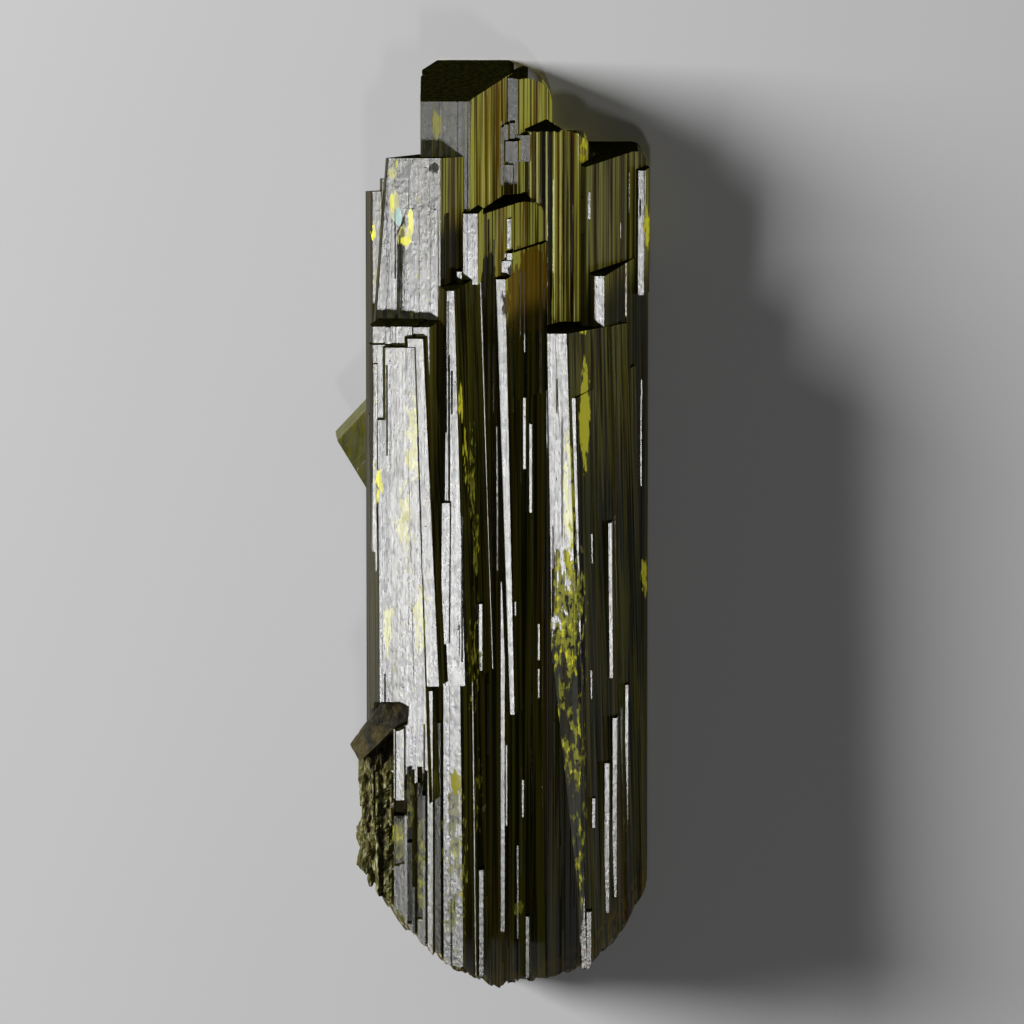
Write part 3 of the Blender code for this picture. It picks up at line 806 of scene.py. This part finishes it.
def side_mesh(shape, rng):
    """The small crystal on the left: a short prism whose own long axis points down and outwards."""
    bm = prism_mesh(SIDE, shape, rng)
    for vert in bm.verts:
        vert.co.y -= SIDE_END_SLANT * vert.co.x
    turn = Matrix.Rotation(SIDE_TURN, 3, "Z") @ Matrix.Rotation(SIDE_LEAN, 3, "Y")
    bmesh.ops.rotate(bm, cent=(0, 0, 0), matrix=turn, verts=bm.verts[:])
    bmesh.ops.translate(bm, vec=SIDE_TIP, verts=bm.verts[:])
    return bm


def helper_object(name, bm):
    """A mesh object, still in millimetres, that only feeds the Booleans."""
    mesh = bpy.data.meshes.new(name)
    bm.to_mesh(mesh)
    bm.free()
    return bpy.data.objects.new(name, mesh)


def joined(name, parts, cutters):
    """One mesh of all the parts less the cutters.

    The solver is MANIFOLD, because EXACT leaves open edges where long faces lie nearly level.
    """
    target = parts[0]
    bpy.context.scene.collection.objects.link(target)
    collections = []
    for operation, helpers in (("UNION", parts[1:]), ("DIFFERENCE", cutters)):
        if not helpers:
            continue
        collection = bpy.data.collections.new(name)
        bpy.context.scene.collection.children.link(collection)
        for helper in helpers:
            collection.objects.link(helper)
        collections.append(collection)
        modifier = target.modifiers.new(operation, "BOOLEAN")
        modifier.operation = operation
        modifier.operand_type = "COLLECTION"
        modifier.collection = collection
        modifier.solver = "MANIFOLD"
    bpy.context.view_layer.update()
    graph = bpy.context.evaluated_depsgraph_get()
    mesh = bpy.data.meshes.new_from_object(target.evaluated_get(graph))
    for helper in parts + cutters:
        bpy.data.objects.remove(helper)
    for collection in collections:
        bpy.data.collections.remove(collection)
    return mesh


def broken(centre, normal, grain):
    """Whether a face is part of a break: on the foot's surface, or on the floor of the chipped corner."""
    if abs(centre.y - break_height(centre.x, centre.z, grain)) < 0.09 and abs(normal.y) > 0.25:
        return True
    return centre.x < ROUGH_LEFT_OF and centre.y < MARGIN_TOP + 0.6 and 9.5 < centre.z < 12.3


def finish_number(face, grain):
    """A face's finish: 0 is the broad faces', 1 the break's, 2 the end faces' and 3 the flanks'."""
    if broken(face.center, face.normal, grain):
        return 1
    if face.normal.y > END_FACE:
        return 2
    if abs(face.normal.x) > FLANK:
        return 3
    return 0


def placed(name, data):
    """A new object at the scene's origin."""
    thing = bpy.data.objects.new(name, data)
    bpy.context.scene.collection.objects.link(thing)
    return thing


def finished(name, mesh, materials, shape):
    """Moves a mesh into the frame and hands it over as a piece of the part."""
    mesh.name = name
    mesh.materials.clear()
    for material in materials:
        mesh.materials.append(material)
    for face in mesh.polygons:
        face.material_index = finish_number(face, shape.grain / MM) if len(materials) > 1 else 0
    mesh.transform(Matrix.Scale(MM, 4) @ Matrix.Translation(HOME))
    piece = placed(name, mesh)
    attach(piece, "root")
    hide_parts(NODE)


class Wire:
    """A shader socket. Sums of wires and numbers add Math nodes."""

    def __init__(self, tree, socket):
        self.tree = tree
        self.socket = socket

    @classmethod
    def node(cls, tree, kind, settings=None, inputs=None, output=0):
        """Adds a node, sets it up, fills its sockets, and returns one of its outputs."""
        added = tree.nodes.new(kind)
        for name, value in (settings or {}).items():
            setattr(added, name, value)
        cls.fill(added, inputs or {})
        return cls(tree, added.outputs[output])

    @classmethod
    def fill(cls, node, inputs):
        """Links a node's sockets to the wires they are given, and sets those that get a plain value."""
        for name, value in inputs.items():
            if isinstance(value, cls):
                value.tree.links.new(value.socket, node.inputs[name])
            else:
                node.inputs[name].default_value = value

    def maths(self, operation, first, second):
        """The Math node behind the operators."""
        return Wire.node(self.tree, "ShaderNodeMath", {"operation": operation}, {0: first, 1: second})

    def __add__(self, other):
        return self.maths("ADD", self, other)

    def __sub__(self, other):
        return self.maths("SUBTRACT", self, other)

    def __rsub__(self, other):
        return self.maths("SUBTRACT", other, self)

    def __mul__(self, other):
        return self.maths("MULTIPLY", self, other)

    def __truediv__(self, other):
        return self.maths("DIVIDE", self, other)

    def __pow__(self, other):
        return self.maths("POWER", self, other)

    __radd__ = __add__
    __rmul__ = __mul__


def rising(value, low, high):
    """0 below low, 1 above high, and smooth in between."""
    inputs = {0: value, 1: low, 2: high}
    return Wire.node(value.tree, "ShaderNodeMapRange", {"interpolation_type": "SMOOTHSTEP"}, inputs)


def tinted(share, below, above):
    """A colour that goes from below to above with the share."""
    inputs = {0: share, 6: rgba(below), 7: rgba(above)}
    return Wire.node(share.tree, "ShaderNodeMix", {"data_type": "RGBA"}, inputs, output=2)


def grain(at, across, along, seed=0.0, detail=2.0):
    """Noise drawn out along the crystals, by its scales across and along them for each millimetre."""
    inputs = {0: at, 1: (across, along, across), 2: (seed, seed * 1.7, -seed)}
    place = Wire.node(at.tree, "ShaderNodeVectorMath", {"operation": "MULTIPLY_ADD"}, inputs)
    return Wire.node(at.tree, "ShaderNodeTexNoise", {}, {"Vector": place, "Scale": 1.0, "Detail": detail})


def bumped(height, strength, distance):
    """Relief from a height, at most the distance deep."""
    inputs = {"Strength": strength, "Distance": distance, "Height": height}
    return Wire.node(height.tree, "ShaderNodeBump", {}, inputs)


def rgba(colour):
    """A colour with its alpha. A wire stays as it is."""
    return colour if isinstance(colour, Wire) else (*colour, 1.0)


def design_place(tree):
    """Object coordinates in the cluster's own millimetres."""
    inputs = {0: Wire.node(tree, "ShaderNodeTexCoord", output="Object"), 1: Vector((1, 1, 1)) / MM, 2: -HOME}
    return Wire.node(tree, "ShaderNodeVectorMath", {"operation": "MULTIPLY_ADD"}, inputs)


def axis_of(vector, name):
    return Wire.node(vector.tree, "ShaderNodeSeparateXYZ", {}, {0: vector}, output=name)


def new_finish(name):
    """A material with its node tree and its shader."""
    material = bpy.data.materials.new(name)
    material.use_nodes = True
    shader = material.node_tree.nodes["Principled BSDF"]
    shader.inputs["IOR"].default_value = 1.75
    return material, material.node_tree, shader


def patch_share(patch, x, y, speckle):
    """Specks that fill a patch's middle and thin out towards its edge."""
    reach = ((x - patch.x) / patch.half_x) ** 2 + ((y - patch.y) / patch.half_y) ** 2
    fill = 1 - rising(reach, 0.0, 1.7)
    return rising(speckle + fill * patch.cover, 0.64, 0.74) * rising(fill, 0.0, 0.15) * patch.strength


def golden_stripes(colours, wide, fine, hair):
    """The stripes where light comes through: gold and amber, with straw lines."""
    stripe = tinted(rising(wide, 0.48, 0.66), colours.gold, colours.amber)
    stripe = tinted(rising(hair, 0.58, 0.66), stripe, colours.straw)
    return tinted(rising(fine, 0.40, 0.54), colours.umber, stripe)


def patch_paint(patch, colours, crumbs):
    """A patch's colour. Moss is mottled."""
    if patch.colour != "moss":
        return getattr(colours, patch.colour)
    paint = tinted(rising(crumbs, 0.36, 0.44), colours.ink, colours.moss)
    return tinted(rising(crumbs, 0.54, 0.64), paint, colours.lemon)


def epidote_finish(name, look, colours, shine=SHINE):
    """Near-black olive stone with growth streaks, and painted light: golden colour and glow where light comes
    through its thin ends.
    """
    material, tree, shader = new_finish(name)
    at = design_place(tree)
    x, y, z = (axis_of(at, letter) for letter in "XYZ")
    facing = Wire.node(tree, "ShaderNodeNewGeometry", output="True Normal")
    broad = rising(axis_of(facing, "Z"), 0.90, 0.98)
    forward = rising(axis_of(facing, "Z"), 0.0, 0.2)
    slanted = 1 - rising(axis_of(facing, "Y"), 0.45, 0.75)
    left_facing_shade = 1 - rising(axis_of(facing, "X"), -0.6, -0.3)
    rightward = rising(axis_of(facing, "X"), -0.5, -0.1)
    wide, fine = grain(at, 1.5, 0.03, 1.0), grain(at, 4.2, 0.045, 5.0, 3.0)
    hair, mottle = grain(at, 11.0, 0.10, 9.0), grain(at, 2.8, 1.4, 3.0, 5.0)
    speckle, crumbs = grain(at, 3.4, 1.0, 2.0, 4.0), grain(at, 3.6, 1.7, 6.0, 4.0)

    # The deep stone, and painted light: gold in the colour and the glow of the slanting faces that look
    # right, near the thin ends where light comes through.
    deep = tinted(rising(fine, 0.42, 0.62), colours.ink, colours.olive)
    deep = tinted(rising(wide, 0.50, 0.68) * look.umber, deep, colours.umber)
    # Painted shade: faces that look left are darkened towards ink.
    deep = tinted(left_facing_shade * 0.55, deep, colours.ink)
    stripe = golden_stripes(colours, wide, fine, hair)
    for patch in look.patches:
        if patch.colour in STAINS:
            stripe = tinted(patch_share(patch, x, y, speckle), stripe, getattr(colours, patch.colour))
    painted_light_share = rising(y, look.gold_from, look.gold_to) * slanted * rightward
    painted_light_share = painted_light_share * (1 - broad * (1 - look.gold_broad)) * look.gold
    inputs = {0: stripe, "Scale": THIN_GLOW / GLOW}
    thin = Wire.node(tree, "ShaderNodeVectorMath", {"operation": "SCALE"}, inputs)
    colour, glow = tinted(painted_light_share, deep, stripe), tinted(painted_light_share, deep, thin)

    # The bloom and the flecks of the broad faces.
    bloom = broad * rising(mottle, 0.3, 0.7) * (0.8 - look.gold_broad * 0.7)
    colour = tinted(bloom, colour, colours.frost)
    fleck = rising(speckle, 0.60, 0.70) * rising(wide, 0.45, 0.6) * broad * look.flecks
    colour = tinted(fleck, colour, colours.lemon)
    dull = 1 - rising(y, look.dull_below - 1.0, look.dull_below + 0.5)
    dull = dull * (1 - rising(z, look.dull_under, look.dull_under + 0.05))
    rough = fleck * 0.10 + dull * broad * look.dull

    for patch in look.patches:
        share = patch_share(patch, x, y, speckle) * forward
        paint = patch_paint(patch, colours, crumbs)
        colour = tinted(share, colour, paint)
        # Painted light: the lemon and moss patches glow as well.
        if patch.colour in SHINING:
            glow = tinted(share, glow, paint)
        rough = rough + share * patch.rough

    # The brown rim just above the broken foot.
    middle_y, middle_z = BREAK_MIDDLE
    above_break = y - x * x * BREAK_BOW - z * BREAK_SLOPE + (middle_z * BREAK_SLOPE - middle_y)
    rim = (1 - rising(above_break, 0.2, 0.8)) * rising(mottle, 0.42, 0.6) * 0.6
    colour = tinted(rim, colour, colours.amber)

    streaks = (hair * 0.6 + grain(at, 26.0, 0.3, 4.0) * 0.3) * (1 - broad * 0.6)
    height = streaks + grain(at, 5.0, 3.0, 8.0, 5.0) * 0.9
    Wire.fill(shader, {
        "Base Color": colour,
        "Emission Color": glow,
        "Emission Strength": GLOW,
        "Specular IOR Level": shine,
        "Roughness": look.polish + (hair - 0.5) * 0.12 + rising(mottle, 0.45, 0.75) * 0.05 + rough,
        "Normal": bumped(height, 0.6, 0.000012),
    })
    return material


def broken_finish(colours):
    """Splintery breaks: olive and brown, with pale crests on the corner that are partly pale splinters and
    partly painted highlights, and darker on the splinter.
    """
    material, tree, shader = new_finish("broken_stone")
    at = design_place(tree)
    crumb, blotch = grain(at, 5.0, 1.5, 2.0, 5.0), grain(at, 1.3, 0.8, 8.0, 3.0)
    splinter = rising(axis_of(at, "Y"), 14.5, 16.0)
    corner = rising(axis_of(at, "Z"), 7.5, 9.5)
    colour = tinted(rising(crumb, 0.35, 0.60), colours.ink, colours.umber)
    colour = tinted(rising(blotch, 0.40, 0.50), colour, colours.olive)
    colour = tinted(rising(blotch, 0.50, 0.70) * (0.20 - splinter * 0.1), colour, colours.amber)
    colour = tinted(rising(crumb, 0.44, 0.62) * (0.30 - splinter * 0.26), colour, colours.moss)
    # Pale crests, most on the higher corner: partly pale splinters, partly painted highlights.
    pale = rising(crumb, 0.52, 0.66) * (0.12 + corner * 0.43) * (1 - splinter * 0.9)
    colour = tinted(pale, colour, colours.ash)
    colour = tinted(splinter * 0.5, colour, colours.umber)
    colour = tinted(splinter * (0.9 - rising(blotch, 0.42, 0.60) * 0.5), colour, colours.ink)
    Wire.fill(shader, {
        "Base Color": colour,
        "Specular IOR Level": 0.15,
        "Roughness": 0.55 + crumb * 0.3,
        "Normal": bumped(crumb, 0.7, 0.00003),
    })
    return material


def dull_finish(colours):
    """The crystals' end faces: nearly black, and dull, with a colour kept darker than the sides' as painted
    shade.
    """
    material, tree, shader = new_finish("dull_faces")
    at = design_place(tree)
    streak, cloud = grain(at, 3.2, 0.045, 5.0, 3.0), grain(at, 1.2, 1.2, 3.0, 4.0)
    Wire.fill(shader, {
        "Base Color": tinted(rising(streak, 0.38, 0.62) * 0.25, colours.ink, colours.olive),
        "Specular IOR Level": 0.0,
        "Roughness": 0.3,
        "Normal": bumped(cloud, 0.4, 0.00002),
    })
    return material


def shared_finishes(colours):
    """The finishes of the breaks and of the end faces, which the crystals share."""
    broken_stone = bpy.data.materials.get("broken_stone") or broken_finish(colours)
    dull_faces = bpy.data.materials.get("dull_faces") or dull_finish(colours)
    return [broken_stone, dull_faces]


def grow(context, name, group, cutters=()):
    """Makes one piece of a group of crystals with the laths that lie on them, and takes the cutters out."""
    shape, colours = context.scene.epidote_shape, context.scene.epidote_colours
    rng = random.Random(f"{name}{shape.seed}")
    parts = [helper_object(prism.name, prism_mesh(prism, shape, rng)) for prism in group]
    for number, lath in enumerate(LATHS + scattered_laths(shape, random.Random(shape.seed))):
        if front_at(lath.x, (lath.top + lath.foot) / 2)[1] is group:
            parts.append(helper_object(f"lath_{number:03d}", lath_mesh(lath)))
    if min(prism.foot for prism in group) <= FOOT:
        cutters = [break_cutter(shape), *cutters]
    mesh = joined(name, parts, [helper_object("cutter", cutter) for cutter in cutters])
    flank = epidote_finish(name + "_flanks", LOOKS[name], colours, FLANK_SHINE)
    materials = [epidote_finish(name, LOOKS[name], colours), *shared_finishes(colours), flank]
    finished(name, mesh, materials, shape)


class GrowSummit(bpy.types.Operator):
    """Grows the tall crystal at the top with the step on its right"""

    bl_idname = "epidote.grow_summit"
    bl_label = "Summit crystals"

    def execute(self, context):
        grow(context, "summit_crystals", SUMMIT)
        return {"FINISHED"}


class GrowGrooved(bpy.types.Operator):
    """Grows the deeply grooved crystals behind"""

    bl_idname = "epidote.grow_grooved"
    bl_label = "Grooved crystals"

    def execute(self, context):
        grow(context, "grooved_crystals", GROOVED)
        return {"FINISHED"}


class GrowUpperLeft(bpy.types.Operator):
    """Grows the upper left crystal and the thin ones along the left edge"""

    bl_idname = "epidote.grow_upper_left"
    bl_label = "Upper left crystals"

    def execute(self, context):
        grow(context, "upper_left_crystals", UPPER_LEFT)
        return {"FINISHED"}


class GrowRight(bpy.types.Operator):
    """Grows the crystals along the right side"""

    bl_idname = "epidote.grow_right"
    bl_label = "Right crystals"

    def execute(self, context):
        grow(context, "right_crystals", RIGHT)
        return {"FINISHED"}


class GrowMiddle(bpy.types.Operator):
    """Grows the middle crystal, its low shoulder and the needle in front"""

    bl_idname = "epidote.grow_middle"
    bl_label = "Middle crystals"

    def execute(self, context):
        grow(context, "middle_crystals", MIDDLE)
        return {"FINISHED"}


class GrowCentreLeft(bpy.types.Operator):
    """Grows the centre left crystal and the lower one that continues it"""

    bl_idname = "epidote.grow_centre_left"
    bl_label = "Centre left crystals"

    def execute(self, context):
        grow(context, "centre_left_crystals", CENTRE_LEFT)
        return {"FINISHED"}


class GrowFrontLeft(bpy.types.Operator):
    """Grows the broad front left crystal and breaks its lower corner"""

    bl_idname = "epidote.grow_front_left"
    bl_label = "Front left crystals"

    def execute(self, context):
        cutters = [corner_cutter(context.scene.epidote_shape), hull_mesh(LEDGE_POINTS)]
        grow(context, "front_left_crystals", FRONT_LEFT, cutters)
        return {"FINISHED"}


class GrowCentreRight(bpy.types.Operator):
    """Grows the centre right crystals"""

    bl_idname = "epidote.grow_centre_right"
    bl_label = "Centre right crystals"

    def execute(self, context):
        grow(context, "centre_right_crystals", CENTRE_RIGHT)
        return {"FINISHED"}


class GrowBacking(bpy.types.Operator):
    """Grows the flat crystal at the back that the cluster lies on"""

    bl_idname = "epidote.grow_backing"
    bl_label = "Backing crystal"

    def execute(self, context):
        grow(context, "backing_crystal", BACKING)
        return {"FINISHED"}


class GrowSide(bpy.types.Operator):
    """Grows the small crystal that sticks out on the left"""

    bl_idname = "epidote.grow_side"
    bl_label = "Side crystal"

    def execute(self, context):
        shape, colours = context.scene.epidote_shape, context.scene.epidote_colours
        mesh = joined("side", [helper_object("side", side_mesh(shape, random.Random(shape.seed)))], [])
        finish = epidote_finish("side_crystal", LOOKS["side_crystal"], colours)
        finished("side_crystal", mesh, [finish], shape)
        return {"FINISHED"}


class LayRubble(bpy.types.Operator):
    """Makes the splinter and the craggy lumps of the chipped corner"""

    bl_idname = "epidote.lay_rubble"
    bl_label = "Chipped corner"

    def execute(self, context):
        shape, colours = context.scene.epidote_shape, context.scene.epidote_colours
        parts = [helper_object("chip", chip_mesh())]
        parts += [helper_object(f"lump_{i}", lump_mesh(lump, i)) for i, lump in enumerate(CORNER_LUMPS)]
        mesh = joined("rubble", parts, [])
        finished("chipped_corner", mesh, shared_finishes(colours)[:1], shape)
        return {"FINISHED"}


def softbox(name, place, size, power):
    """An area light that looks at the cluster."""
    data = bpy.data.lights.new(name, "AREA")
    data.shape = "RECTANGLE"
    data.size, data.size_y = size
    data.energy = power
    light = placed(name, data)
    light.location = place
    light.rotation_euler = (place - AIM).to_track_quat("Z", "Y").to_euler()


def plain_floor(colour):
    """A wide matt floor under the cluster."""
    bm = bmesh.new()
    bmesh.ops.create_grid(bm, x_segments=1, y_segments=1, size=2.0)
    mesh = bpy.data.meshes.new("floor")
    bm.to_mesh(mesh)
    bm.free()
    material, _, shader = new_finish("floor_paint")
    Wire.fill(shader, {"Base Color": rgba(colour), "Roughness": 0.8, "Specular IOR Level": 0.1})
    mesh.materials.append(material)
    placed("floor", mesh)


def point_camera():
    """A long lens, tilted back from straight down, that frames the cluster upright."""
    data = bpy.data.cameras.new("view")
    data.lens = LENS
    data.sensor_width = SENSOR
    data.clip_start = 0.01
    camera = placed("view", data)
    towards = Vector((0, math.sin(VIEW_TILT), math.cos(VIEW_TILT)))
    camera.location = (VIEW_TARGET + HOME) * MM + towards * (VIEW_WIDTH * LENS / SENSOR)
    camera.rotation_euler = (-VIEW_TILT, 0, 0)
    bpy.context.scene.camera = camera


class SetStudio(bpy.types.Operator):
    """Sets up the floor, the lights and the camera"""

    bl_idname = "epidote.set_studio"
    bl_label = "Studio"

    def execute(self, context):
        studio = context.scene.epidote_studio
        plain_floor(studio.floor)
        mirrored = Vector((0, -math.sin(VIEW_TILT), math.cos(VIEW_TILT)))
        face_light_place = AIM + mirrored * FACE_LIGHT_DISTANCE + FACE_LIGHT_SHIFT
        softbox("face_light", face_light_place, FACE_LIGHT_SIZE, studio.face_power)
        softbox("key_light", KEY_LIGHT_PLACE, KEY_LIGHT_SIZE, studio.key_power)
        softbox("side_light", SIDE_LIGHT_PLACE, SIDE_LIGHT_SIZE, studio.side_power)
        world = bpy.data.worlds.new("studio")
        world.use_nodes = True
        background = world.node_tree.nodes["Background"]
        background.inputs["Color"].default_value = (1, 1, 1, 1)
        background.inputs["Strength"].default_value = studio.sky
        context.scene.world = world
        context.scene.view_settings.view_transform = "Standard"
        point_camera()
        return {"FINISHED"}


OPERATORS = [
    GrowSummit, GrowGrooved, GrowUpperLeft, GrowRight, GrowMiddle, GrowCentreLeft, GrowFrontLeft,
    GrowCentreRight, GrowBacking, GrowSide, LayRubble, SetStudio,
]


class EPIDOTE_PT_cluster(bpy.types.Panel):
    """Lists the steps that make the cluster and its studio"""

    bl_idname = "EPIDOTE_PT_cluster"
    bl_label = "Epidote cluster"
    bl_space_type = "VIEW_3D"
    bl_region_type = "UI"
    bl_category = "Epidote"

    def draw(self, context):
        scene = context.scene
        for settings in (scene.epidote_shape, scene.epidote_colours, scene.epidote_studio):
            for name in settings.__annotations__:
                self.layout.prop(settings, name)
        for operator in OPERATORS:
            self.layout.operator(operator.bl_idname)


SETTINGS = {
    "epidote_shape": EpidoteShape,
    "epidote_colours": EpidoteColours,
    "epidote_studio": StudioSettings,
}


def register():
    for cls in [*SETTINGS.values(), *OPERATORS, EPIDOTE_PT_cluster]:
        bpy.utils.register_class(cls)
    for name, cls in SETTINGS.items():
        setattr(bpy.types.Scene, name, PointerProperty(type=cls))


def unregister():
    for name in SETTINGS:
        delattr(bpy.types.Scene, name)
    for cls in [EPIDOTE_PT_cluster, *reversed(OPERATORS), *SETTINGS.values()]:
        bpy.utils.unregister_class(cls)


def main():
    register()
    for operator in OPERATORS:
        group, name = operator.bl_idname.split(".")
        getattr(getattr(bpy.ops, group), name)()


if __name__ == "__main__":
    main()
